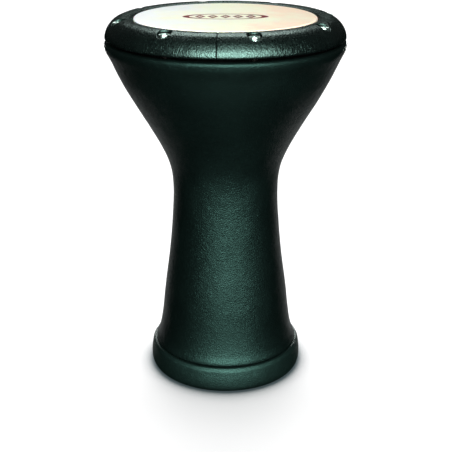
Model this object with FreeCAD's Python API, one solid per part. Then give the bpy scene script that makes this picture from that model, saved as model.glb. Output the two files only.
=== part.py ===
import FreeCAD, Part
import math
import os

# Goblet drum (darbuka): a cast aluminium shell wrapped in leatherette, a film head stretched over a
# bearing edge, and a cast tuning collar drawn down by eight socket cap screws.
# Millimetres. +Z points up, and the origin is on the axis, on the surface that the drum stands on.

# ---- Driving dimensions: sections are (radius, height), measured over the leatherette ----

COVER = 1.0                  # leatherette thickness
WALL = 5.0                   # cast wall of the goblet and of the collar
FILM = 0.3                   # head film thickness
SEAM = 0.3                   # width of the butt joint where a leatherette sheet meets itself
COLLAR_SEAM_ANGLE = -94.0    # where each sheet's joint is, in degrees from +X
BODY_SEAM_ANGLE = 86.0
BAND_SEAM_ANGLE = 97.0

FOOT_RIM = [(92.9, 0.5), (94.7, 3.0), (95.9, 10.5), (95.5, 18.5), (94.5, 25.3), (93.6, 28.4), (92.1, 30.4),
            (89.3, 31.7)]
FOOT_RIM_ENDS = ((0.75, 0.66), (-1.0, 0.25))    # directions at the band's lower and upper edges
FOOT_FLAT = (86.4, 91.0)     # inner and outer radius of the face that stands on the floor
SHOULDER = [(89.1, 32.0), (89.4, 34.0), (88.6, 36.6), (86.9, 39.7), (85.3, 43.8)]
SHOULDER_END = (-0.27, 1.0)  # direction in which the shoulder runs into the flare
FLARE = [(85.3, 43.8), (77.1, 100.0), (70.2, 150.0), (65.4, 200.0), (63.9, 236.0), (67.2, 265.0),
         (72.5, 280.0), (82.3, 300.0), (105.4, 340.0), (126.8, 380.0), (135.9, 400.0), (140.4, 412.6)]
RIM_ROUND = 2.6              # rounding over the goblet's rim
RIM_FOLD_R = 131.5           # the body cover is folded over the rim to here
FLANGE = 8.0                 # thickness of the flange that carries the lugs
FLANGE_CORNER = (4.4, 0.9, 1.2)                 # reach of the rounding under the flange, and its middle
INSIDE_ENDS = ((-0.16, 1.0), (0.45, 0.9))       # directions of the goblet's inner face at foot and flange
FOOT_EDGE = 0.8              # chamfer inside the foot

BEARING_R = 105.5            # outside of the wall that the head is stretched over
BEARING_WALL = 4.5
BEARING_TOP = 440.95
HEAD_SKIRT_Z = 430.0         # lowest edge of the film outside the bearing wall

GAP = 3.2                    # tuning gap between the goblet's rim and the collar
COLLAR_R = 139.2
COLLAR_CROWN = (117.2, 442.4)
COLLAR_CURVE = 1.8           # exponent of the collar's outer curve; 2 is an ellipse
COLLAR_CURVE_STEPS = 9
COLLAR_ROUND = 1.3           # rounding under the collar's outer wall
COLLAR_FOLD_R = 134.0        # the collar cover is folded under the wall to here
COLLAR_INSIDE = [COLLAR_CROWN, (113.0, 442.1), (109.6, 441.5), (107.9, 440.5), (107.3, 438.9)]
COLLAR_TUCK_Z = 434.5        # the collar cover ends here, inside the collar
LIP_Z = 430.0                # face of the collar that presses on the head's hoop
LIP_R = 114.5

HOOP_IN = 106.6
HOOP_OUT = 113.4
HOOP_BOTTOM = 419.5
HOOP_INNER_TOP = 425.0       # the hoop's inner wall is lower, so that the film can enter
HOOP_METAL = 1.2
RESIN_TOP = 428.5

SCREWS = 8
BOLT_CIRCLE_R = 123.7
FIRST_SCREW = -76.0          # degrees from +X to the first screw
SCREW_R = 4.0                # M8 thread, as a plain shank
SCREW_LENGTH = 35.0
HEAD_R = 6.5
HEAD_H = 8.0
HEAD_EDGE = 0.7
HEX_FLATS = 6.0              # socket width across flats
HEX_DEPTH = 4.0
DRILL_POINT = 1.2            # cone that the drill left below the socket
HEX_TURN = 23.0              # each socket has stopped at another angle
TIP_EDGE = 1.0
SEAT_PLAY = 0.05             # running clearance under each screw head
WASHER_R = 7.5
WASHER_HOLE_R = 4.2
WASHER_T = 1.6
POCKET_R = 8.0               # pocket in the collar for a screw head
POCKET_COVER_R = 7.6         # hole in the leatherette over it
POCKET_FLOOR = 429.4
BOSS_R = 10.0                # round each screw, inside the collar
COLLAR_HOLE_R = 4.5

INSERT_R = 6.0               # steel thread insert, pressed into a lug
INSERT_BORE_R = 4.05         # radial running clearance of 0.05 on the shank
INSERT_H = 16.0
INSERT_SINK = 0.6
LUG_R = 9.0
LUG_TAPER = (380.0, 391.0)   # each lug narrows into the goblet's wall between these heights
LUG_TIP_R = 4.5
TIP_HOLE_R = 4.6
TIP_HOLE_Z = 392.5           # bottom of the blind hole below an insert
CUT_PAST = 1.0               # how far a cut runs past the face that it opens

# ---- Sizes that follow ----

RIM_TOP = FLARE[-1][1] + RIM_ROUND
FLANGE_TOP = RIM_TOP - COVER
FLANGE_UNDER = FLANGE_TOP - FLANGE
INSERT_TOP = FLANGE_TOP - INSERT_SINK
BEARING_IN = BEARING_R - BEARING_WALL
BEARING_ROUND = BEARING_WALL / 2
COLLAR_BOTTOM = RIM_TOP + GAP
COLLAR_CURVE_Z = COLLAR_BOTTOM + COLLAR_ROUND
SCREW_SEAT = POCKET_FLOOR + WASHER_T + SEAT_PLAY
SCREW_TIP = SCREW_SEAT - SCREW_LENGTH

AXIS = FreeCAD.Vector(0, 0, 1)
ORIGIN = FreeCAD.Vector(0, 0, 0)
UP = (0, 1)
IN = (-1, 0)
DOWN = (0, -1)


# ---- Section geometry: the section plane is XZ, with x as the radius ----

def at(point):
    return FreeCAD.Vector(point[0], 0, point[1])


def line(start, end):
    return Part.LineSegment(at(start), at(end)).toShape()


def polyline(points):
    return [line(a, b) for a, b in zip(points, points[1:])]


def arc(centre, radius, start_deg, end_deg):
    """Arc about a centre; angles are in degrees from +r towards +Z."""
    mid_deg = (start_deg + end_deg) / 2
    ends = []
    for deg in (start_deg, mid_deg, end_deg):
        a = math.radians(deg)
        ends.append(at((centre[0] + radius * math.cos(a), centre[1] + radius * math.sin(a))))
    return Part.Arc(*ends).toShape()


def spline(points, start_dir, end_dir):
    curve = Part.BSplineCurve()
    curve.interpolate(Points=[at(p) for p in points], InitialTangent=at(start_dir), FinalTangent=at(end_dir))
    return curve


def moved_in(points, start_dir, end_dir, depth):
    """Points of a spline, each moved by depth to the left of the direction of travel."""
    curve = spline(points, start_dir, end_dir)
    moved = []
    for point in points:
        along = curve.tangent(curve.parameter(at(point)))[0]
        along.normalize()
        moved.append((point[0] - depth * along.z, point[1] + depth * along.x))
    return moved


def spline_edge(points, start_dir, end_dir, depth=0.0):
    placed = moved_in(points, start_dir, end_dir, depth) if depth else points
    return spline(placed, start_dir, end_dir).toShape(), placed


def revolved(edges, start_deg=0.0, sweep=360.0):
    """Solid of revolution of a closed section, swept from an angle about the axis."""
    face = Part.Face(Part.Wire(Part.__sortEdges__(edges)))
    solid = face.revolve(ORIGIN, AXIS, sweep)
    solid.rotate(ORIGIN, AXIS, start_deg)
    return solid


def sheet(edges, radius, seam_deg):
    """Leatherette wrapped once round the axis, with a narrow butt joint."""
    gap_deg = math.degrees(SEAM / radius)
    return revolved(edges, seam_deg + gap_deg / 2, 360.0 - gap_deg)


def pillar(radius, low, high, x, y):
    return Part.makeCylinder(radius, high - low, FreeCAD.Vector(x, y, low), AXIS)


def screw_places():
    for k in range(SCREWS):
        a = math.radians(FIRST_SCREW + 360.0 * k / SCREWS)
        yield k, BOLT_CIRCLE_R * math.cos(a), BOLT_CIRCLE_R * math.sin(a)


# ---- Outlines shared by a casting and the leatherette glued to it ----

def foot_line(depth):
    return spline_edge(FOOT_RIM, *FOOT_RIM_ENDS, depth)


def goblet_line(depth):
    """Shoulder, flare and rounded rim: edges, first point and last point."""
    shoulder, low = spline_edge(SHOULDER, UP, SHOULDER_END, depth)
    flare, _ = spline_edge(FLARE, SHOULDER_END, UP, depth)
    centre = (FLARE[-1][0] - RIM_ROUND, FLARE[-1][1])
    rim = arc(centre, RIM_ROUND - depth, 0, 90)
    return [shoulder, flare, rim], low[0], (centre[0], centre[1] + RIM_ROUND - depth)


def collar_curve():
    """Outer quarter of the collar, from its wall up to its crown."""
    width = COLLAR_R - COLLAR_CROWN[0]
    height = COLLAR_CROWN[1] - COLLAR_CURVE_Z
    points = []
    for k in range(COLLAR_CURVE_STEPS):
        a = math.radians(90.0 * k / (COLLAR_CURVE_STEPS - 1))
        r = COLLAR_CROWN[0] + width * max(math.cos(a), 0.0) ** (2 / COLLAR_CURVE)
        z = COLLAR_CURVE_Z + height * math.sin(a) ** (2 / COLLAR_CURVE)
        points.append((r, z))
    return points


def collar_line(depth):
    """Under the outer wall, up over the crown and down the inner side."""
    centre = (COLLAR_R - COLLAR_ROUND, COLLAR_CURVE_Z)
    corner = arc(centre, COLLAR_ROUND - depth, -90, 0)
    outer, _ = spline_edge(collar_curve(), UP, IN, depth)
    inner, inner_points = spline_edge(COLLAR_INSIDE, IN, DOWN, depth)
    return [corner, outer, inner], (centre[0], COLLAR_BOTTOM + depth), inner_points[-1]


# ---- Shell ----

def goblet_inside():
    """Inner face of the goblet, up to the rounding under the flange."""
    points = [(FOOT_FLAT[0] - FOOT_EDGE, FOOT_EDGE)] + moved_in(FLARE, SHOULDER_END, UP, COVER + WALL)[:-1]
    top = points[-1]
    corner = (top[0] - FLANGE_CORNER[0], FLANGE_UNDER)
    middle = (top[0] - FLANGE_CORNER[1], FLANGE_UNDER - FLANGE_CORNER[2])
    face = spline(points, INSIDE_ENDS[0], INSIDE_ENDS[1]).toShape()
    rounding = Part.Arc(at(top), at(middle), at(corner)).toShape()
    return [face, rounding], points[0], corner


def shell_casting():
    foot, foot_points = foot_line(COVER)
    outside, low, high = goblet_line(COVER)
    inside, inside_low, inside_high = goblet_inside()
    foot_edges = polyline([inside_low, (FOOT_FLAT[0], 0), (FOOT_FLAT[1], 0), foot_points[0]])
    groove = line(foot_points[-1], low)
    bearing_centre = (BEARING_IN + BEARING_ROUND, BEARING_TOP - BEARING_ROUND)
    flange_top = polyline([high, (BEARING_R, FLANGE_TOP), (BEARING_R, bearing_centre[1])])
    bearing_edge = arc(bearing_centre, BEARING_ROUND, 0, 180)
    flange_under = polyline([(BEARING_IN, bearing_centre[1]), (BEARING_IN, FLANGE_UNDER), inside_high])
    section = foot_edges + [foot, groove] + outside + flange_top + [bearing_edge] + flange_under + inside
    casting = revolved(section)

    to_axis = polyline([high, (0, high[1]), (0, low[1]), low])
    filled = revolved(outside + to_axis)
    for _, x, y in screw_places():
        lug = pillar(LUG_R, LUG_TAPER[1], FLANGE_TOP, x, y)
        taper = Part.makeCone(LUG_TIP_R, LUG_R, LUG_TAPER[1] - LUG_TAPER[0],
                              FreeCAD.Vector(x, y, LUG_TAPER[0]), AXIS)
        casting = casting.fuse(lug.fuse(taper).common(filled))
    for _, x, y in screw_places():
        insert_hole = pillar(INSERT_R, INSERT_TOP - INSERT_H, FLANGE_TOP + CUT_PAST, x, y)
        tip_hole = pillar(TIP_HOLE_R, TIP_HOLE_Z, FLANGE_TOP, x, y)
        casting = casting.cut(insert_hole.fuse(tip_hole))
    return casting.removeSplitter()


def body_cover():
    outer, low, high = goblet_line(0)
    inner, inner_low, inner_high = goblet_line(COVER)
    lower_edge = line(low, inner_low)
    fold = polyline([high, (RIM_FOLD_R, high[1]), (RIM_FOLD_R, inner_high[1]), inner_high])
    return sheet(outer + inner + fold + [lower_edge], FLARE[-1][0], BODY_SEAM_ANGLE)


def base_band():
    outer, points = foot_line(0)
    inner, inner_points = foot_line(COVER)
    edges = [outer, inner, line(points[0], inner_points[0]), line(points[-1], inner_points[-1])]
    return sheet(edges, FOOT_RIM[2][0], BAND_SEAM_ANGLE)


def thread_insert(x, y):
    low = INSERT_TOP - INSERT_H
    body = pillar(INSERT_R, low, INSERT_TOP, x, y)
    return body.cut(pillar(INSERT_BORE_R, low - CUT_PAST, INSERT_TOP + CUT_PAST, x, y))


def drum_head():
    centre = (BEARING_R - BEARING_ROUND, BEARING_TOP - BEARING_ROUND)
    over = arc(centre, BEARING_ROUND + FILM, 0, 90)
    under = arc(centre, BEARING_ROUND, 0, 90)
    top = BEARING_TOP + FILM
    skin = polyline([(centre[0], BEARING_TOP), (0, BEARING_TOP), (0, top), (centre[0], top)])
    skirt = polyline([(BEARING_R, centre[1]), (BEARING_R, HEAD_SKIRT_Z),
                      (BEARING_R + FILM, HEAD_SKIRT_Z), (BEARING_R + FILM, centre[1])])
    return revolved(skin + skirt + [over, under])


# ---- Tuning collar ----

def collar_hollow():
    """Underside of the collar between its outer wall and its lip."""
    curve, points = spline_edge(collar_curve(), UP, IN, COVER + WALL)
    roof = points[-1]
    radius = roof[0] - LIP_R
    turn = arc((roof[0], roof[1] - radius), radius, 90, 180)
    return [curve, turn], points[0], (LIP_R, roof[1] - radius)


def collar_casting():
    outside, low, high = collar_line(COVER)
    hollow, wall_low, lip_high = collar_hollow()
    lip = polyline([lip_high, (LIP_R, LIP_Z), (high[0], LIP_Z), high])
    wall_foot = polyline([low, (wall_low[0], low[1]), wall_low])
    ring = revolved(outside + hollow + lip + wall_foot)
    filled = revolved(outside + polyline([low, (high[0], low[1]), high]))
    for _, x, y in screw_places():
        ring = ring.fuse(pillar(BOSS_R, low[1], COLLAR_CROWN[1], x, y).common(filled))
    for _, x, y in screw_places():
        pocket = pillar(POCKET_R, POCKET_FLOOR, COLLAR_CROWN[1] + CUT_PAST, x, y)
        ring = ring.cut(pocket.fuse(pillar(COLLAR_HOLE_R, low[1] - CUT_PAST, POCKET_FLOOR, x, y)))
    return ring.removeSplitter()


def collar_cover():
    outer, low, high = collar_line(0)
    inner, inner_low, inner_high = collar_line(COVER)
    fold = polyline([low, (COLLAR_FOLD_R, low[1]), (COLLAR_FOLD_R, inner_low[1]), inner_low])
    tuck = polyline([high, (high[0], COLLAR_TUCK_Z), (inner_high[0], COLLAR_TUCK_Z), inner_high])
    cover = sheet(outer + inner + fold + tuck, COLLAR_R, COLLAR_SEAM_ANGLE)
    for _, x, y in screw_places():
        cover = cover.cut(pillar(POCKET_COVER_R, POCKET_FLOOR, COLLAR_CROWN[1] + CUT_PAST, x, y))
    return cover


def head_hoop():
    inner_wall = HOOP_IN + HOOP_METAL
    outer_wall = HOOP_OUT - HOOP_METAL
    floor = HOOP_BOTTOM + HOOP_METAL
    corners = [(HOOP_IN, HOOP_BOTTOM), (HOOP_OUT, HOOP_BOTTOM), (HOOP_OUT, LIP_Z), (outer_wall, LIP_Z),
               (outer_wall, floor), (inner_wall, floor), (inner_wall, HOOP_INNER_TOP),
               (HOOP_IN, HOOP_INNER_TOP), (HOOP_IN, HOOP_BOTTOM)]
    return revolved(polyline(corners))


def hoop_resin():
    low = (HOOP_IN + HOOP_METAL, HOOP_BOTTOM + HOOP_METAL)
    high = (HOOP_OUT - HOOP_METAL, RESIN_TOP)
    return revolved(polyline([low, (high[0], low[1]), high, (low[0], high[1]), low]))


def washer(x, y):
    top = POCKET_FLOOR + WASHER_T
    ring = pillar(WASHER_R, POCKET_FLOOR, top, x, y)
    return ring.cut(pillar(WASHER_HOLE_R, POCKET_FLOOR - CUT_PAST, top + CUT_PAST, x, y))


# ---- Screws ----

def tuning_screw(x, y, socket_deg):
    top = SCREW_SEAT + HEAD_H
    half = [(0, SCREW_TIP), (SCREW_R - TIP_EDGE, SCREW_TIP), (SCREW_R, SCREW_TIP + TIP_EDGE),
            (SCREW_R, SCREW_SEAT), (HEAD_R, SCREW_SEAT), (HEAD_R, top - HEAD_EDGE),
            (HEAD_R - HEAD_EDGE, top), (0, top), (0, SCREW_TIP)]
    screw = revolved(polyline(half))
    floor = top - HEX_DEPTH
    corner_r = HEX_FLATS / math.sqrt(3)
    corners = []
    for k in range(7):
        a = math.radians(60 * k)
        corners.append(FreeCAD.Vector(corner_r * math.cos(a), corner_r * math.sin(a), floor))
    socket = Part.Face(Part.makePolygon(corners)).extrude(FreeCAD.Vector(0, 0, HEX_DEPTH + CUT_PAST))
    drill_tip = FreeCAD.Vector(0, 0, floor - DRILL_POINT)
    drill = Part.makeCone(0, HEX_FLATS / 2, DRILL_POINT, drill_tip, AXIS)
    screw = screw.cut(socket.fuse(drill))
    screw.rotate(ORIGIN, AXIS, socket_deg)
    screw.translate(FreeCAD.Vector(x, y, 0))
    return screw


# ---- All sub-parts ----

def all_parts():
    parts = {
        "shell_casting": shell_casting(),
        "body_cover": body_cover(),
        "base_band": base_band(),
        "drum_head": drum_head(),
        "collar_casting": collar_casting(),
        "collar_cover": collar_cover(),
        "head_hoop": head_hoop(),
        "hoop_resin": hoop_resin(),
    }
    for k, x, y in screw_places():
        parts["thread_insert_%d" % (k + 1)] = thread_insert(x, y)
        parts["washer_%d" % (k + 1)] = washer(x, y)
        parts["tuning_screw_%d" % (k + 1)] = tuning_screw(x, y, HEX_TURN * k)
    return parts


os.makedirs("parts", exist_ok=True)
for name, shape in all_parts().items():
    if not shape.isValid():
        raise ValueError(name + " isn't a valid solid")
    print("%-18s %d solid(s) %9.2f cm3" % (name, len(shape.Solids), shape.Volume / 1000.0))
    shape.exportStep("parts/" + name + ".step")
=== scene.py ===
import math

import bpy
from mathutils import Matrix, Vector, noise
from mathutils.bvhtree import BVHTree


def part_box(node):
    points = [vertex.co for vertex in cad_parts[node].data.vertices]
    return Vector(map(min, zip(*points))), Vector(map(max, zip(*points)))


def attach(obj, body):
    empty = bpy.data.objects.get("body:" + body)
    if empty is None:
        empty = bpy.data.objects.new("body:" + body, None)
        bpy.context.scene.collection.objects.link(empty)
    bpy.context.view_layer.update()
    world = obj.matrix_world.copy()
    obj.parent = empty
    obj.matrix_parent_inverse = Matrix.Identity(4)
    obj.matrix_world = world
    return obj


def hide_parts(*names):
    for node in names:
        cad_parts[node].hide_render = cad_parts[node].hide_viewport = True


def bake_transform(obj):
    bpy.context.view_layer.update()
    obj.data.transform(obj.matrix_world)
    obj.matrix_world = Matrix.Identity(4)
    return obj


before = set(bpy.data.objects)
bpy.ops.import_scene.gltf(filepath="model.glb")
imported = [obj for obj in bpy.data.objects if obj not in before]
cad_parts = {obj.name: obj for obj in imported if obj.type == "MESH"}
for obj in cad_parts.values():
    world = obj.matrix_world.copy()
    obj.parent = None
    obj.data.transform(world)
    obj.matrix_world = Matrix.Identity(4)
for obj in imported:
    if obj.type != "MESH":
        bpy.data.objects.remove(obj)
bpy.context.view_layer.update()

MM = 0.001
SCREWS = 8


# ---- Camera: the photograph's viewing angle, looking down at the drum ----

CAMERA_PLACE = (0.0006, -1.080, 0.6075)
LOOK_DOWN_DEG = 21.5
LENS_MM = 73.9
SENSOR_MM = 36.0


def make_camera():
    data = bpy.data.cameras.new("view_camera")
    data.sensor_width = SENSOR_MM
    data.lens = LENS_MM
    data.clip_start = 0.05
    camera = bpy.data.objects.new("view_camera", data)
    camera.location = CAMERA_PLACE
    camera.rotation_euler = (math.radians(90.0 - LOOK_DOWN_DEG), 0.0, 0.0)
    bpy.context.scene.collection.objects.link(camera)
    bpy.context.scene.camera = camera


# ---- Sizes and places, read from the frame ----

def radius_of(node):
    """Largest radius of a node that is centred on the drum's axis."""
    low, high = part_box(node)
    return max(high.x, high.y, -low.x, -low.y)


def screw_place(k):
    """Axis of a tuning screw, and the heights of its tip and head."""
    low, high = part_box("tuning_screw_%d" % k)
    return (low.x + high.x) / 2, (low.y + high.y) / 2, low.z, high.z


def screw_deg(k):
    """Angle of a tuning screw round the drum."""
    x, y, _, _ = screw_place(k)
    return math.degrees(math.atan2(y, x))


RIM_R = radius_of("body_cover")
RIM_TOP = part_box("body_cover")[1].z
COLLAR_R = radius_of("collar_cover")
COLLAR_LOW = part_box("collar_cover")[0].z
FILM_R = radius_of("drum_head")
FILM_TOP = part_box("drum_head")[1].z
FOOT_R = radius_of("base_band")
FOOT_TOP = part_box("base_band")[1].z
WASHER_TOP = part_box("washer_1")[1].z
BOLT_R = math.hypot(*screw_place(1)[:2])


# ---- Outlines: sections of the CAD solids, as (radius, height) ----

def turned(r, z, deg):
    """A section point, turned round the drum's axis."""
    a = math.radians(deg)
    return Vector((r * math.cos(a), r * math.sin(a), z))


class Section:
    """Finds the outside of a turned CAD node by casting rays in section planes."""

    # There are enough planes for some to miss the seams and the screw pockets.
    AZIMUTHS = [11.0 + 40.0 * k for k in range(9)]

    def __init__(self, node):
        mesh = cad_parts[node].data
        self.tree = BVHTree.FromPolygons([v.co for v in mesh.vertices], [p.vertices for p in mesh.polygons])

    def hit(self, start, toward):
        """Where a ray from one section point towards another first meets the solid, in any of the planes."""
        best = None
        step = (Vector(toward) - Vector(start)).normalized()
        for deg in self.AZIMUTHS:
            place, _, _, distance = self.tree.ray_cast(turned(*start, deg), turned(*step, deg))
            if place is not None and (best is None or distance < best[0]):
                best = (distance, math.hypot(place.x, place.y), place.z)
        return None if best is None else (best[1], best[2])

    def around(self, centre, reach, start_deg, end_deg, steps):
        """Outline seen from all round a section point."""
        points = []
        for k in range(steps + 1):
            a = math.radians(start_deg + (end_deg - start_deg) * k / steps)
            start = (centre[0] + reach * math.cos(a), centre[1] + reach * math.sin(a))
            points.append(self.hit(start, centre))
        return [p for p in points if p is not None]

    def side(self, low, high, steps):
        """Outline of a tall outer wall, by level rays."""
        points = []
        for k in range(steps + 1):
            z = low + (high - low) * k / steps
            points.append(self.hit((2 * RIM_R, z), (0.0, z)))
        return [p for p in points if p is not None]


class Outline:
    """A smooth line through section points, measured by its length."""

    NEAR = 0.4 * MM

    def __init__(self, points):
        self.points = [Vector(p) for p in points]
        self.at = [0.0]
        for a, b in zip(self.points, self.points[1:]):
            self.at.append(self.at[-1] + (b - a).length)
        self.length = self.at[-1]

    def place(self, s):
        """The point at a length, on a Catmull-Rom curve."""
        s = min(max(s, 0.0), self.length)
        i = max(k for k in range(len(self.at) - 1) if self.at[k] <= s + 1e-12)
        t = (s - self.at[i]) / (self.at[i + 1] - self.at[i])
        p1, p2 = self.points[i], self.points[i + 1]
        p0 = self.points[i - 1] if i > 0 else 2 * p1 - p2
        p3 = self.points[i + 2] if i + 2 < len(self.points) else 2 * p2 - p1
        return 0.5 * (2 * p1 + (p2 - p0) * t + (2 * p0 - 5 * p1 + 4 * p2 - p3) * t * t
                      + (3 * p1 - p0 - 3 * p2 + p3) * t ** 3)

    def normal(self, s):
        along = self.place(s + self.NEAR) - self.place(s - self.NEAR)
        return Vector((along[1], -along[0])).normalized()

    def even(self, spacing):
        """Lengths at about equal distances, from one end to the other."""
        count = max(2, round(self.length / spacing))
        return [self.length * k / count for k in range(count + 1)]


# ---- Meshes ----

# A mesh attribute that says where a point of a wrapped sheet was when the sheet lay flat.
FLAT = "flat_sheet"


def new_object(name, verts, faces, material, flat=None):
    """A smooth-shaded mesh. For the grain, flat holds where each vertex was before its sheet was wrapped."""
    mesh = bpy.data.meshes.new(name)
    mesh.from_pydata([tuple(v) for v in verts], [], faces)
    mesh.validate()
    mesh.polygons.foreach_set("use_smooth", [True] * len(mesh.polygons))
    mesh.materials.append(material)
    if flat is not None:
        layer = mesh.attributes.new(FLAT, "FLOAT_VECTOR", "POINT")
        layer.data.foreach_set("vector", [c for place in flat for c in (place[0], place[1], 0.0)])
    obj = bpy.data.objects.new(name, mesh)
    bpy.context.scene.collection.objects.link(obj)
    return obj


def thicken(obj, thickness):
    """Gives an open sheet its thickness, inward, with closed edges."""
    solid = obj.modifiers.new("thickness", "SOLIDIFY")
    solid.thickness = thickness
    solid.offset = -1.0
    solid.use_even_offset = False
    depsgraph = bpy.context.evaluated_depsgraph_get()
    mesh = bpy.data.meshes.new_from_object(obj.evaluated_get(depsgraph))
    obj.modifiers.clear()
    obj.data = mesh
    return obj


def grid_faces(rows, columns, left_out=()):
    """Faces of a grid of points, apart from those that are left out."""
    faces = []
    for j in range(rows - 1):
        for i in range(columns - 1):
            if (j, i) not in left_out:
                a = j * columns + i
                faces.append((a, a + 1, a + columns + 1, a + columns))
    return faces


def ring_faces(rings, columns, first=0):
    """Faces between closed rings of points that follow each other."""
    faces = []
    for j in range(rings - 1):
        for i in range(columns):
            a = first + j * columns + i
            b = first + j * columns + (i + 1) % columns
            faces.append((a, a + columns, b + columns, b))
    return faces


# ---- Wrapped sheets of leatherette, each with a butt seam ----

SHEET = 0.9 * MM
SEAM_COLUMNS = (0.02 * MM, 0.35 * MM, 0.9 * MM, 1.8 * MM)     # distances from the seam
LEAST_STEP = 0.4                                              # of a full step between columns
LIP_DOWN, LIP_WIDTH = 0.45 * MM, 0.55 * MM                    # how the cut edges are turned down
RIDGE_UP, RIDGE_AT, RIDGE_WIDTH = 0.10 * MM, 2.2 * MM, 1.2 * MM
SWELL_SIZE = 22 * MM
CALM_EDGE = 8 * MM                                            # the swell fades out this close to an edge


def sheet_angles(seam_deg, radius, step_deg, phase_deg):
    """Angles of a sheet's columns, from one side of its seam round to the other, closer at the seam."""
    near = [math.degrees(d / radius) for d in SEAM_COLUMNS]
    angles = [seam_deg + d for d in near]
    k = math.ceil((seam_deg + near[-1] + LEAST_STEP * step_deg - phase_deg) / step_deg)
    while phase_deg + k * step_deg < seam_deg + 360.0 - near[-1] - LEAST_STEP * step_deg:
        angles.append(phase_deg + k * step_deg)
        k += 1
    return angles + [seam_deg + 360.0 - d for d in reversed(near)]


def seam_dip(deg, seam_deg, radius):
    """How far a sheet lies below its outline: down at its seam's cut edges, and a little up beside them."""
    away = math.radians(min((deg - seam_deg) % 360.0, (seam_deg - deg) % 360.0)) * radius
    lip = LIP_DOWN * math.exp(-(away / LIP_WIDTH) ** 2)
    return lip - RIDGE_UP * math.exp(-((away - RIDGE_AT) / RIDGE_WIDTH) ** 2)


def swell(place, depth):
    """Slow unevenness of the casting under the leatherette."""
    broad = noise.noise(place / SWELL_SIZE)
    fine = noise.noise(place / (0.37 * SWELL_SIZE) + Vector((7.0, 3.0, 1.0)))
    return depth * (broad + 0.4 * fine)


def wrap_point(outline, s, deg, seam_deg, unevenness):
    p, n = outline.place(s), outline.normal(s)
    base = turned(p[0], p[1], deg)
    from_edge = min(s, outline.length - s, CALM_EDGE) / CALM_EDGE
    lift = swell(base, unevenness) * from_edge - seam_dip(deg, seam_deg, p[0])
    return base + turned(n[0], n[1], deg) * lift


def wrapped_sheet(name, outline, material, seam_deg, step_deg, spacing, unevenness):
    angles = sheet_angles(seam_deg, outline.place(outline.length / 2)[0], step_deg, 0.0)
    rows = outline.even(spacing)
    verts = [wrap_point(outline, s, deg, seam_deg, unevenness) for s in rows for deg in angles]
    return thicken(new_object(name, verts, grid_faces(len(rows), len(angles)), material), SHEET)


# ---- Material building ----

class Shader:
    """A material's node tree, built by short calls."""

    def __init__(self, name):
        self.material = bpy.data.materials.new(name)
        self.material.use_nodes = True
        self.tree = self.material.node_tree
        self.bsdf = self.tree.nodes["Principled BSDF"]
        self.coords = self.node("ShaderNodeTexCoord").outputs["Object"]

    def node(self, kind, inputs=None, **settings):
        made = self.tree.nodes.new(kind)
        for key, value in settings.items():
            setattr(made, key, value)
        for key, value in (inputs or {}).items():
            self.feed(made.inputs[key], value)
        return made

    def feed(self, socket, value):
        if isinstance(value, bpy.types.NodeSocket):
            self.tree.links.new(value, socket)
        else:
            socket.default_value = value

    def axis(self, name):
        return self.node("ShaderNodeSeparateXYZ", {0: self.coords}).outputs[name]

    def math(self, operation, a, b=0.0):
        return self.node("ShaderNodeMath", {0: a, 1: b}, operation=operation).outputs[0]

    def add(self, a, b):
        return self.math("ADD", a, b)

    def times(self, a, b):
        return self.math("MULTIPLY", a, b)

    def away(self, a, b):
        """How far a value is from another."""
        return self.math("ABSOLUTE", self.math("SUBTRACT", a, b))

    def squared(self, a):
        return self.math("POWER", a, 2.0)

    def vector(self, operation, a, b):
        return self.node("ShaderNodeVectorMath", {0: a, 1: b}, operation=operation).outputs[0]

    def noise(self, size, detail=3.0, roughness=0.55, vector=None):
        inputs = {"Vector": vector or self.coords, "Scale": 1.0 / size,
                  "Detail": detail, "Roughness": roughness}
        return self.node("ShaderNodeTexNoise", inputs).outputs["Fac"]

    def remap(self, value, low, high, to_low=0.0, to_high=1.0, smooth=True):
        inputs = {"Value": value, "From Min": low, "From Max": high, "To Min": to_low, "To Max": to_high}
        kind = "SMOOTHSTEP" if smooth else "LINEAR"
        return self.node("ShaderNodeMapRange", inputs, interpolation_type=kind).outputs["Result"]

    def mix(self, factor, a, b):
        made = self.node("ShaderNodeMix", data_type="RGBA")
        self.feed(made.inputs["Factor"], factor)
        self.feed(made.inputs["A"], a)
        self.feed(made.inputs["B"], b)
        return made.outputs["Result"]

    def warped(self, source, size, amount):
        """Coordinates, shifted by noise."""
        inputs = {"Vector": source, "Scale": 1.0 / size, "Detail": 2.0}
        shift = self.node("ShaderNodeTexNoise", inputs).outputs["Color"]
        centred = self.vector("SUBTRACT", shift, (0.5, 0.5, 0.5))
        return self.vector("ADD", source, self.vector("MULTIPLY", centred, (amount, amount, amount)))

    def bump(self, height, depth):
        inputs = {"Height": height, "Distance": depth, "Strength": 1.0}
        return self.node("ShaderNodeBump", inputs).outputs["Normal"]

    def set(self, **inputs):
        for key, value in inputs.items():
            self.feed(self.bsdf.inputs[key.replace("_", " ")], value)


def rgb(r, g, b):
    return (r, g, b, 1.0)


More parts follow.
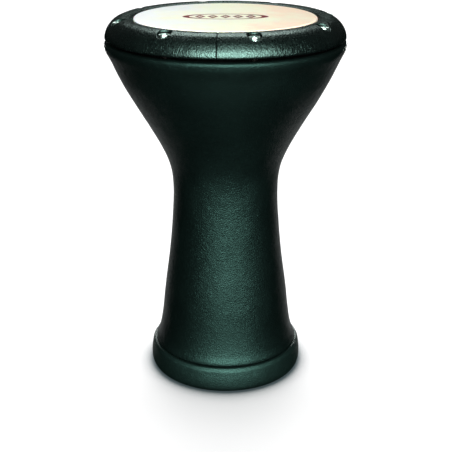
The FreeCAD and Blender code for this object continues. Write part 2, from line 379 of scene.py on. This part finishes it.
def leatherette(name, pebble, stretch, depth, wrinkle, roughness, gloss, tint, flat=False):
    """Black leatherette: raised pebbles between fine creases, a little glossier on top. Stretch lengthens
    the pebbles along the drum's axis, and wrinkle adds short deep creases the same way."""
    s = Shader(name)
    source = s.node("ShaderNodeAttribute", attribute_name=FLAT).outputs["Vector"] if flat else s.coords
    pull = (1.0, 1.0 / stretch, 1.0) if flat else (1.0, 1.0, 1.0 / stretch)
    pulled = s.vector("MULTIPLY", source, pull)
    bent = s.warped(pulled, 3.0 * pebble, 1.2 * pebble)
    inputs = {"Vector": bent, "Scale": 1.0 / pebble, "Randomness": 1.0}
    cells = s.node("ShaderNodeTexVoronoi", inputs, feature="DISTANCE_TO_EDGE").outputs["Distance"]
    top = s.remap(cells, 0.0, 0.30)
    fine = s.noise(0.45 * pebble, 3.0, 0.6, pulled)
    ridge = s.remap(s.away(s.noise(1.9 * pebble, 2.0, 0.5, bent), 0.5), 0.0, 0.07)
    slow = s.noise(45 * MM, 3.0, 0.5)
    height = s.add(s.add(top, s.times(fine, 0.5)), s.times(ridge, wrinkle))
    # Colour: painted shade, darker in the creases between the pebbles and along the wrinkles, with a slow
    # random tone.
    out_of_crease_shade = s.times(s.times(top, ridge), s.remap(slow, 0.3, 0.7, 0.6, 1.0))
    colour = s.mix(out_of_crease_shade, rgb(0.0006, 0.0012, 0.0011), rgb(0.0012, 0.0026, 0.0023))
    crease_matt = s.remap(top, 0.0, 1.0, 0.12, 0.0)
    top_rough = s.remap(slow, 0.3, 0.7, roughness - 0.02, roughness + 0.03)
    s.set(Base_Color=colour, Roughness=s.add(crease_matt, top_rough), Normal=s.bump(height, depth),
          IOR=1.45, Specular_IOR_Level=gloss, Specular_Tint=tint)
    return s.material


# The printed band on the head: a row of lozenges in an oval line.
LOZENGE_PITCH = 14.5 * MM
LOZENGE_HALF_TALL = 11.5 * MM
LOZENGE_SLIM = 2.3
ROW_HALF_WIDE = 36.2 * MM
OVAL_HALF_WIDE, OVAL_HALF_TALL = 45.5 * MM, 18.5 * MM
OVAL_LINE = 0.085
PRINT_FORWARD = 3 * MM


def printed_band(s):
    """Where the head is printed: 1 on the lozenges' outlines, their dots and the oval, and 0 elsewhere."""
    x, y = s.axis("X"), s.add(s.axis("Y"), PRINT_FORWARD)
    column = s.away(s.math("FRACT", s.add(s.math("DIVIDE", x, LOZENGE_PITCH), 0.5)), 0.5)
    tall = s.math("DIVIDE", s.away(y, 0.0), LOZENGE_HALF_TALL)
    lozenge = s.add(s.times(column, LOZENGE_SLIM), tall)
    outlines = s.times(s.math("LESS_THAN", lozenge, 1.0), s.math("GREATER_THAN", lozenge, 0.42))
    dots = s.math("LESS_THAN", lozenge, 0.20)
    in_row = s.math("LESS_THAN", s.away(x, 0.0), ROW_HALF_WIDE)
    wide_part = s.squared(s.math("DIVIDE", x, OVAL_HALF_WIDE))
    tall_part = s.squared(s.math("DIVIDE", y, OVAL_HALF_TALL))
    oval = s.math("SQRT", s.add(wide_part, tall_part))
    ring = s.math("LESS_THAN", s.away(oval, 1.0), OVAL_LINE)
    return s.math("MAXIMUM", s.times(s.math("MAXIMUM", outlines, dots), in_row), ring)


def head_film():
    """Translucent polyester film: a faintly mottled cream coating, coloured white towards -X and salmon
    towards +X as painted light, and a printed band.
    """
    s = Shader("head_film")
    mottle = s.noise(60 * MM, 4.0, 0.6)
    speck = s.noise(2.2 * MM, 3.0, 0.7)
    # Painted light: a gradient across the head, white on the -X side and salmon on the +X side, stirred by a
    # random mottle.
    light_gradient_and_mottle = s.remap(s.add(s.times(s.axis("X"), 4.0), mottle), 0.1, 0.9, smooth=False)
    cream = s.mix(s.remap(light_gradient_and_mottle, 0.05, 0.50), rgb(0.96, 0.96, 0.93), rgb(0.96, 0.94, 0.72))
    film = s.mix(s.remap(light_gradient_and_mottle, 0.50, 0.95), cream, rgb(0.96, 0.73, 0.56))
    film = s.mix(s.remap(speck, 0.35, 0.75, 0.0, 0.10), film, rgb(0.84, 0.76, 0.64))
    wear = s.remap(s.noise(1.6 * MM, 4.0, 0.7), 0.30, 0.50, 0.75, 0.99)
    colour = s.mix(s.times(printed_band(s), wear), film, rgb(0.17, 0.010, 0.025))
    s.set(Base_Color=colour, Roughness=s.remap(mottle, 0.3, 0.7, 0.30, 0.40),
          Normal=s.bump(s.noise(0.8 * MM, 3.0, 0.6), 0.03 * MM),
          IOR=1.55, Subsurface_Weight=0.15, Subsurface_Scale=2 * MM)
    return s.material


def metal(name, colour, dark, roughness, grain, depth, spots, gap_shade_from=None):
    """A metal with fine surface grain, patches of other gloss and some dull spots. Above a given height it is
    coloured near-black, as painted shade for the gap under the collar."""
    s = Shader(name)
    fine = s.noise(grain, 5.0, 0.65)
    slow = s.noise(30 * MM, 4.0, 0.6)
    stain = s.remap(s.noise(11 * MM, 5.0, 0.7), 0.52, 0.72, 0.0, spots)
    tint = s.mix(s.math("MAXIMUM", stain, s.remap(fine, 0.45, 0.8, 0.0, 0.5)), colour, dark)
    # Painted shade: near-black above the given height, with a ragged line, standing in for the shade in the
    # gap under the collar.
    if gap_shade_from is not None:
        ragged = s.add(s.axis("Z"), s.times(s.noise(4 * MM, 3.0, 0.6), 1.5 * MM))
        tint = s.mix(s.remap(ragged, gap_shade_from, gap_shade_from + 0.3 * MM), tint, rgb(0.020, 0.021, 0.021))
    patches = s.remap(slow, 0.3, 0.7, roughness - 0.05, roughness + 0.06)
    s.set(Base_Color=tint, Metallic=1.0, Roughness=s.add(patches, s.times(stain, 0.2)),
          Normal=s.bump(fine, depth))
    return s.material


def screw_chrome():
    """Bright chrome on the head, and below it a thread coloured near-black as painted shade, where it shows
    in the gap under the collar.
    """
    s = Shader("screw_chrome")
    fine, slow = s.noise(0.7 * MM, 5.0, 0.65), s.noise(4 * MM, 3.0, 0.6)
    plated = s.mix(s.remap(fine, 0.45, 0.8, 0.0, 0.5), rgb(0.66, 0.88, 0.80), rgb(0.46, 0.62, 0.56))
    # Painted shade: the thread below the washer is coloured near-black.
    shank_shade_mask = s.remap(s.axis("Z"), WASHER_TOP - 1.5 * MM, WASHER_TOP - 0.5 * MM, 1.0, 0.0)
    polish = s.remap(slow, 0.3, 0.7, 0.24, 0.34)
    s.set(Base_Color=s.mix(shank_shade_mask, plated, rgb(0.012, 0.012, 0.011)), Metallic=1.0,
          Roughness=s.add(polish, s.times(shank_shade_mask, 0.25)), Normal=s.bump(fine, 0.008 * MM))
    return s.material


def resin():
    s = Shader("resin")
    slow, fine = s.noise(6 * MM, 4.0, 0.6), s.noise(1.2 * MM, 3.0, 0.6)
    s.set(Base_Color=s.mix(s.remap(slow, 0.3, 0.7), rgb(0.62, 0.44, 0.20), rgb(0.48, 0.32, 0.13)),
          Roughness=s.remap(fine, 0.3, 0.7, 0.25, 0.40), Normal=s.bump(slow, 0.2 * MM))
    return s.material


def pale_floor():
    """Pale matt floor, with a soft shade close to what stands on it. The shade is felt for towards the back,
    so it is widest in front of the foot."""
    s = Shader("pale_floor")
    reach, lean = 100 * MM, math.radians(35.0)
    shade_colour = rgb(0.10, 0.135, 0.145)
    slow = s.noise(0.4, 3.0, 0.5)
    inputs = {"Distance": reach, "Normal": (0.0, math.cos(lean), math.sin(lean))}
    openness = s.node("ShaderNodeAmbientOcclusion", inputs, samples=16).outputs["AO"]
    clear = s.remap(openness, 0.54, 0.78, smooth=False)
    pale = s.mix(slow, rgb(0.80, 0.80, 0.80), rgb(0.78, 0.78, 0.785))
    s.set(Base_Color=s.mix(clear, shade_colour, pale), Roughness=0.5,
          Emission_Color=s.mix(clear, shade_colour, rgb(1.0, 1.0, 1.0)), Emission_Strength=0.50)
    return s.material


BODY_TINT = rgb(0.42, 1.0, 0.84)
COLLAR_TINT = rgb(0.55, 1.0, 0.86)
# Above this height the castings are coloured near-black as painted shade in the gap between them: the top of
# the shell's flange and the whole collar casting.
GAP_SHADE_FROM = RIM_TOP - 2.5 * MM

BODY_LEATHER = leatherette("body_leatherette", pebble=2.1 * MM, stretch=1.0, depth=0.13 * MM, wrinkle=0.5,
                           roughness=0.34, gloss=0.45, tint=BODY_TINT)
BAND_LEATHER = leatherette("band_leatherette", pebble=2.1 * MM, stretch=1.0, depth=0.12 * MM, wrinkle=0.5,
                           roughness=0.42, gloss=0.72, tint=BODY_TINT)
COLLAR_LEATHER = leatherette("collar_leatherette", pebble=2.2 * MM, stretch=2.0, depth=0.085 * MM,
                             wrinkle=1.2, roughness=0.22, gloss=0.92, tint=COLLAR_TINT, flat=True)
CAST = metal("cast_aluminium", rgb(0.40, 0.41, 0.42), rgb(0.22, 0.22, 0.23),
             roughness=0.50, grain=1.2 * MM, depth=0.12 * MM, spots=0.6, gap_shade_from=GAP_SHADE_FROM)
ROLLED = metal("hoop_aluminium", rgb(0.78, 0.79, 0.80), rgb(0.60, 0.60, 0.61),
               roughness=0.30, grain=0.6 * MM, depth=0.02 * MM, spots=0.2)
ZINC = metal("insert_steel", rgb(0.34, 0.34, 0.32), rgb(0.22, 0.21, 0.19),
             roughness=0.34, grain=0.5 * MM, depth=0.02 * MM, spots=0.4)
FILM = head_film()
CHROME = screw_chrome()
RESIN = resin()


def paint(node, material):
    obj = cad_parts[node]
    obj.data.materials.clear()
    obj.data.materials.append(material)


# ---- Leatherette over the goblet and its foot ----

BODY_SEAM_DEG = 86.0
BAND_SEAM_DEG = 97.0
FOLD_R = 2.7 * MM


def goblet_outline():
    """Up the wall from behind the foot band, round the rim, and in over the flange."""
    section = Section("body_cover")
    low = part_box("body_cover")[0].z
    foot_end, fold_start = low + 14 * MM, RIM_TOP - FOLD_R
    wall = section.side(low + 0.05 * MM, foot_end, 14)[:-1] + section.side(foot_end, fold_start, 62)
    wall[0] = (wall[0][0], FOOT_TOP - 0.5 * MM)
    centre = (wall[-1][0] - FOLD_R, RIM_TOP - FOLD_R)
    rim = []
    for k in range(1, 8):
        a = math.radians(90.0 * k / 7)
        rim.append((centre[0] + FOLD_R * math.cos(a), centre[1] + FOLD_R * math.sin(a)))
    fold = [(centre[0] - d * MM, RIM_TOP) for d in (1.5, 3.2, 5.0)]
    return Outline(wall + rim + fold)


def body_wrap():
    piece = wrapped_sheet("body_wrap", goblet_outline(), BODY_LEATHER, BODY_SEAM_DEG,
                          step_deg=1.25, spacing=3.0 * MM, unevenness=0.22 * MM)
    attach(piece, "shell")
    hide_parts("body_cover")


def band_outline():
    """From under the foot, round its outside, to an edge tucked in against the goblet's cover."""
    centre = (FOOT_R - 9 * MM, FOOT_TOP / 2)
    over = Section("base_band").around(centre, reach=30 * MM, start_deg=-68.4, end_deg=81.0, steps=46)
    tucked = (over[-1][0] - 0.28 * MM, over[-1][1] - 0.06 * MM)
    return Outline(over + [tucked])


def foot_wrap():
    piece = wrapped_sheet("foot_wrap", band_outline(), BAND_LEATHER, BAND_SEAM_DEG,
                          step_deg=1.5, spacing=1.0 * MM, unevenness=0.20 * MM)
    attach(piece, "shell")
    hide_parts("base_band")


# ---- Leatherette over the collar, with its eight screw pockets ----

COLLAR_SEAM_DEG = -94.0
COLUMN_DEG = 0.75
ROW_SPACING = 1.35 * MM
POCKET_R = 7.6 * MM
POCKET_ROUND = 1.3 * MM
PATCH_OUT, PATCH_IN = 12.6 * MM, 12.4 * MM      # how far a pocket's patch reaches, outward and inward
PATCH_COLUMNS = 9                               # how many columns it takes to each side
PATCH_RINGS = 6
WAVY_EDGE = 9 * MM


def collar_outline():
    """From the edge folded in below the collar, round its outside and over its crown."""
    centre = (COLLAR_R - 18 * MM, COLLAR_LOW + 8 * MM)
    over = Section("collar_cover").around(centre, reach=60 * MM, start_deg=-22.0, end_deg=148.5, steps=90)
    fold = ((5.0, 0.0), (3.0, 0.0), (1.2, 0.05))
    return Outline([(over[0][0] - d * MM, COLLAR_LOW + rise * MM) for d, rise in fold] + over)


def pocket_lip():
    """The rounded edge of a pocket and the top of its wall, as (radius, depth)."""
    lip = []
    for deg in (20, 40, 60, 80, 90):
        a = math.radians(deg)
        lip.append((POCKET_R + POCKET_ROUND * (1 - math.sin(a)), POCKET_ROUND * (1 - math.cos(a))))
    return lip + [(POCKET_R, POCKET_ROUND + d * MM) for d in (0.8, 1.6)]


def edge_wave(s, deg):
    """The leatherette's fold under the collar isn't quite level."""
    near = max(0.0, 1.0 - s / WAVY_EDGE)
    place = turned(139 * MM, 0.0, deg)
    return near * (0.35 * noise.noise(place / (12 * MM)) + 0.20 * noise.noise(place / (3.5 * MM))) * MM


class CollarSheet:
    """A grid of rows along the outline and columns round the drum, with a patch for each screw pocket."""

    def __init__(self):
        self.outline = collar_outline()
        self.angles = sheet_angles(COLLAR_SEAM_DEG, COLLAR_R, COLUMN_DEG, screw_deg(1))
        self.rows = self.outline.even(ROW_SPACING)
        self.first_row = self.row_at(BOLT_R + PATCH_OUT)
        self.last_row = self.row_at(BOLT_R - PATCH_IN)
        self.verts = []
        self.flat = []
        for s in self.rows:
            for deg in self.angles:
                self.add(s, deg)
        middles = [self.column_at(screw_deg(k)) for k in range(1, SCREWS + 1)]
        left_out = set()
        for middle in middles:
            for i in range(middle - PATCH_COLUMNS, middle + PATCH_COLUMNS):
                left_out.update((j, i) for j in range(self.first_row, self.last_row))
        self.faces = grid_faces(len(self.rows), len(self.angles), left_out)
        for middle in middles:
            self.add_pocket(middle)

    def length_at(self, r):
        """Length along the outline at a radius, on the part that runs inward over the crown."""
        low, high = self.outline.length * 0.25, self.outline.length * 0.92
        for _ in range(40):
            middle = (low + high) / 2
            if self.outline.place(middle)[0] > r:
                low = middle
            else:
                high = middle
        return (low + high) / 2

    def row_at(self, r):
        s = self.length_at(r)
        return min(range(len(self.rows)), key=lambda j: abs(self.rows[j] - s))

    def column_at(self, deg):
        return min(range(len(self.angles)), key=lambda i: abs((self.angles[i] - deg + 180.0) % 360.0 - 180.0))

    def add(self, s, deg, drop=0.0, slip=0.0):
        """Adds a point and returns its number. Drop lowers the point, and slip moves its grain along."""
        place = wrap_point(self.outline, s, deg, COLLAR_SEAM_DEG, 0.16 * MM)
        self.verts.append(place + Vector((0.0, 0.0, edge_wave(s, deg) - drop)))
        self.flat.append((math.radians(deg) * COLLAR_R, s - slip))
        return len(self.verts) - 1

    def beside_screw(self, screw, radius, heading):
        """Length along the outline and angle round the drum of a point at a radius from a screw's axis."""
        along = BOLT_R + radius * math.cos(heading)
        across = radius * math.sin(heading)
        return self.length_at(math.hypot(along, across)), screw + math.degrees(math.atan2(across, along))

    def patch_edge(self, middle):
        """Row and column of each grid point round a patch."""
        left, right = middle - PATCH_COLUMNS, middle + PATCH_COLUMNS
        edge = [(self.first_row, i) for i in range(left, right)]
        edge += [(j, right) for j in range(self.first_row, self.last_row)]
        edge += [(self.last_row, i) for i in range(right, left, -1)]
        return edge + [(j, left) for j in range(self.last_row, self.first_row, -1)]

    def add_pocket(self, middle):
        """Rings of points from the edge of a patch to its pocket, then over the lip and down the wall."""
        screw = self.angles[middle]
        edge = self.patch_edge(middle)
        headings = []
        for j, i in edge:
            across = math.radians(self.angles[i] - screw) * BOLT_R
            headings.append(math.atan2(across, self.outline.place(self.rows[j])[0] - BOLT_R))
        rings = [[j * len(self.angles) + i for j, i in edge]]
        for step in range(1, PATCH_RINGS + 1):
            t = step / PATCH_RINGS
            ring = []
            for (j, i), heading in zip(edge, headings):
                s, deg = self.beside_screw(screw, POCKET_R + POCKET_ROUND, heading)
                s = self.rows[j] + (s - self.rows[j]) * t
                ring.append(self.add(s, self.angles[i] + (deg - self.angles[i]) * t))
            rings.append(ring)
        for radius, drop in pocket_lip():
            ring = []
            for heading in headings:
                s, deg = self.beside_screw(screw, radius, heading)
                ring.append(self.add(s, deg, drop, drop * math.cos(heading)))
            rings.append(ring)
        for outer, inner in zip(rings, rings[1:]):
            for n in range(len(edge)):
                m = (n + 1) % len(edge)
                self.faces.append((outer[n], outer[m], inner[m], inner[n]))


def collar_wrap():
    sheet = CollarSheet()
    piece = new_object("collar_wrap", sheet.verts, sheet.faces, COLLAR_LEATHER, sheet.flat)
    piece = thicken(piece, SHEET)
    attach(piece, "tuning_ring")
    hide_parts("collar_cover")


# ---- Head film: flat over the bearing edge, then down and out into the hoop ----

FILM_THICK = 0.25 * MM
FILM_BEND = 2.55 * MM
FILM_COLUMNS = 240
IN_RESIN_R = radius_of("hoop_resin") - 3.2 * MM


def film_outline(skirt_end, film_end):
    """From the middle of the head, down its skirt, then out to the resin and down to the film's end."""
    crown_r = FILM_R - FILM_BEND
    points = [(crown_r * t, FILM_TOP) for t in (0.0, 0.15, 0.3, 0.45, 0.6, 0.72, 0.82, 0.9, 0.96, 1.0)]
    for k in range(1, 9):
        a = math.radians(90.0 * k / 8)
        points.append((crown_r + FILM_BEND * math.sin(a), FILM_TOP - FILM_BEND + FILM_BEND * math.cos(a)))
    skirt_top = points[-1][1]
    points += [(FILM_R, skirt_end + (skirt_top - skirt_end) * t) for t in (0.66, 0.33, 0.0)]
    for t in (0.2, 0.4, 0.6, 0.8, 1.0):
        smooth = t * t * (3 - 2 * t)
        points.append((FILM_R + (IN_RESIN_R - FILM_R) * smooth, skirt_end - 5.0 * MM * t))
    return points + [(IN_RESIN_R, film_end)]


def film_head():
    resin_low, resin_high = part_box("hoop_resin")
    skirt_end = resin_high.z + 4.0 * MM
    points = film_outline(skirt_end, resin_low.z + 1.5 * MM)
    verts = [Vector((0.0, 0.0, FILM_TOP))]
    for r, z in points[1:]:
        verts += [turned(r, z, 360.0 * i / FILM_COLUMNS) for i in range(FILM_COLUMNS)]
    faces = [(0, 1 + i, 1 + (i + 1) % FILM_COLUMNS) for i in range(FILM_COLUMNS)]
    faces += ring_faces(len(points) - 1, FILM_COLUMNS, first=1)
    piece = thicken(new_object("film_head", verts, faces, FILM), FILM_THICK)
    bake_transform(piece)
    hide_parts("drum_head")


# ---- Tuning screws: knurled socket heads and threaded shanks ----

HEAD_R = 6.5 * MM
SHANK_R = 4.0 * MM
ROOT_R = 3.4 * MM
THREAD_PITCH = 1.25 * MM
SOCKET_R = 3.0 * MM
SOCKET_DEPTH = 4.0 * MM
SCREW_COLUMNS = 72
SCREW_SEAT = WASHER_TOP + 0.05 * MM
SCREW_TURN_DEG = 23.0                             # each screw's socket is turned this far from the last one's


def knurl(radius, deg):
    return radius - 0.18 * MM * (0.5 + 0.5 * math.cos(math.radians(deg * 24)))


def hexagon(radius, deg):
    return radius / math.cos(math.radians((deg + 30.0) % 60.0 - 30.0))


def thread(z):
    """The thread's section at a height."""
    def shape(radius, deg):
        phase = ((z / THREAD_PITCH) + deg / 360.0) % 1.0
        return ROOT_R + (radius - ROOT_R) * min(1.0, 1.15 * abs(2.0 * phase - 1.0))
    return shape


def screw_outline(tip, top):
    """Rings of a screw from the bottom of its socket, over its head and down to its tip, as (radius, height,
    shape), where a shape changes the radius by the angle."""
    floor = top - SOCKET_DEPTH
    rings = [(1.0 * MM, floor - 1.1 * MM, None), (SOCKET_R * 0.96, floor - 0.2 * MM, None)]
    rings += [(SOCKET_R, top - d * MM, hexagon) for d in (3.9, 3.7, 2.0, 0.75, 0.55)]
    rings += [(SOCKET_R * 1.18, top - 0.10 * MM, None), (SOCKET_R * 1.23, top, None)]
    rings += [(HEAD_R - d * MM, top, None) for d in (2.0, 1.1, 0.9)]
    for deg in (15, 40, 65, 85):
        a = math.radians(deg)
        rings.append((HEAD_R - 0.9 * MM + 0.8 * MM * math.sin(a), top - 0.8 * MM * (1 - math.cos(a)), None))
    rings += [(HEAD_R - 0.05 * MM, top - 1.1 * MM, None), (HEAD_R, top - 1.4 * MM, knurl)]
    rings += [(HEAD_R, SCREW_SEAT + 0.9 * MM, knurl), (HEAD_R - 0.05 * MM, SCREW_SEAT + 0.6 * MM, None)]
    rings += [(HEAD_R - 0.5 * MM, SCREW_SEAT, None), (SHANK_R + 0.35 * MM, SCREW_SEAT, None)]
    rings += [(SHANK_R, SCREW_SEAT - d * MM, None) for d in (0.0, 1.0, 12.0)]
    z = SCREW_SEAT - 13.0 * MM
    while z > tip + 1.2 * MM:
        rings.append((SHANK_R, z, thread(z)))
        z -= THREAD_PITCH / 5
    return rings + [(ROOT_R, tip + 0.8 * MM, None), (ROOT_R - 0.6 * MM, tip, None)]


def tuning_screw(k):
    x, y, tip, top = screw_place(k)
    rings = screw_outline(tip, top)
    verts = []
    for radius, z, shape in rings:
        for i in range(SCREW_COLUMNS):
            deg = 360.0 * i / SCREW_COLUMNS
            r = radius if shape is None else shape(radius, deg)
            verts.append(Vector((x, y, z)) + turned(r, 0.0, deg + SCREW_TURN_DEG * (k - 1)))
    faces = ring_faces(len(rings), SCREW_COLUMNS)
    last = len(verts) - SCREW_COLUMNS
    verts += [Vector((x, y, top - SOCKET_DEPTH - 1.5 * MM)), Vector((x, y, tip))]
    for i in range(SCREW_COLUMNS):
        after = (i + 1) % SCREW_COLUMNS
        faces.append((len(verts) - 2, i, after))
        faces.append((len(verts) - 1, last + after, last + i))
    piece = new_object("cap_screw_%d" % k, verts, faces, CHROME)
    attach(piece, "screw_%d" % k)
    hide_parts("tuning_screw_%d" % k)


# ---- Stage: a pale floor, and soft lights that each serve only some of the pieces ----

MIDDLE = Vector((0.0, 0.0, 0.30))
FLOOR_HALF = 14.0
FAR, CLOSE = 2.2, 0.6


def make_floor():
    verts = [(-FLOOR_HALF, -FLOOR_HALF, 0), (FLOOR_HALF, -FLOOR_HALF, 0),
             (FLOOR_HALF, FLOOR_HALF, 0), (-FLOOR_HALF, FLOOR_HALF, 0)]
    floor = new_object("floor", verts, [(0, 1, 2, 3)], pale_floor())
    floor.visible_glossy = False
    return floor


def direction(azimuth, elevation):
    """Azimuth 0 is the camera's side, and positive is to its right."""
    a, e = math.radians(azimuth), math.radians(elevation)
    return Vector((math.sin(a) * math.cos(e), -math.cos(a) * math.cos(e), math.sin(e)))


def place_light(data, azimuth, elevation, distance, receivers):
    """Puts a light at a distance from the drum's middle, facing it. It lights only its receivers."""
    light = bpy.data.objects.new(data.name, data)
    away = direction(azimuth, elevation)
    light.location = MIDDLE + away * distance
    light.rotation_euler = (-away).to_track_quat("-Z", "Y").to_euler()
    light.light_linking.receiver_collection = receivers
    light.visible_camera = False
    bpy.context.scene.collection.objects.link(light)


def softbox(name, azimuth, elevation, distance, size, radiance, receivers):
    data = bpy.data.lights.new(name, "AREA")
    data.shape = "RECTANGLE"
    data.size, data.size_y = size
    data.energy = math.pi * size[0] * size[1] * radiance
    place_light(data, azimuth, elevation, distance, receivers)


def open_sky(name, elevation, spread, energy, receivers):
    """A light as wide as a stretch of sky, which leaves only soft shade close to what stands in it."""
    data = bpy.data.lights.new(name, "SUN")
    data.energy = energy
    data.angle = math.radians(spread)
    place_light(data, 180.0, elevation, FAR, receivers)


def group(name, objects):
    made = bpy.data.collections.new(name)
    for obj in objects:
        made.objects.link(obj)
    return made


def make_lights(floor):
    meshes = [obj for obj in bpy.context.scene.objects if obj.type == "MESH" and obj != floor]
    drum = group("lit_drum", meshes)
    ground = group("lit_floor", [floor])
    film = group("lit_film", [bpy.data.objects["film_head"]])
    collar = group("lit_collar", [bpy.data.objects["collar_wrap"]])
    body = group("lit_body", [bpy.data.objects["body_wrap"], bpy.data.objects["foot_wrap"]])
    steel = group("lit_steel", [obj for obj in meshes if obj.name.startswith("cap_screw")])
    softbox("key_left", -11.0, 16.0, FAR, (1.22, 1.05), 14.2, drum)
    softbox("key_right", 20.0, 16.0, FAR, (1.36, 1.05), 14.7, drum)
    softbox("upper", 3.0, 45.0, FAR, (1.4, 0.75), 4.2, drum)
    softbox("low_back", 180.0, -3.6, FAR, (1.9, 0.40), 20.0, body)
    softbox("upper_back", 180.0, 58.0, FAR, (1.6, 0.8), 6.0, collar)
    softbox("front_bounce", 0.0, -30.0, CLOSE, (0.9, 0.5), 0.3, drum)
    softbox("back_bounce", 180.0, -30.0, CLOSE, (0.9, 0.5), 0.6, drum)
    softbox("film_light", 0.0, 80.0, FAR, (1.2, 1.2), 6.8, film)
    softbox("screw_back_light", 180.0, 28.0, FAR, (3.0, 1.6), 1.6, steel)
    softbox("screw_front_light", 0.0, 6.0, FAR, (3.6, 1.2), 2.6, steel)
    open_sky("drum_sky", 90.0, 180.0, 0.07, drum)
    open_sky("floor_sky", 60.0, 75.0, 3.4, ground)


def make_world():
    """A white background that only the camera sees."""
    world = bpy.data.worlds.new("studio")
    world.use_nodes = True
    world.node_tree.nodes["Background"].inputs["Color"].default_value = rgb(1.0, 1.0, 1.0)
    bpy.context.scene.world = world
    world.cycles_visibility.diffuse = False
    world.cycles_visibility.glossy = False
    bpy.context.scene.view_settings.view_transform = "Standard"


# ---- All pieces ----

make_camera()
body_wrap()
foot_wrap()
collar_wrap()
film_head()
for k in range(1, SCREWS + 1):
    tuning_screw(k)
    paint("washer_%d" % k, ZINC)
    paint("thread_insert_%d" % k, ZINC)
paint("shell_casting", CAST)
paint("collar_casting", CAST)
paint("head_hoop", ROLLED)
paint("hoop_resin", RESIN)
make_lights(make_floor())
make_world()
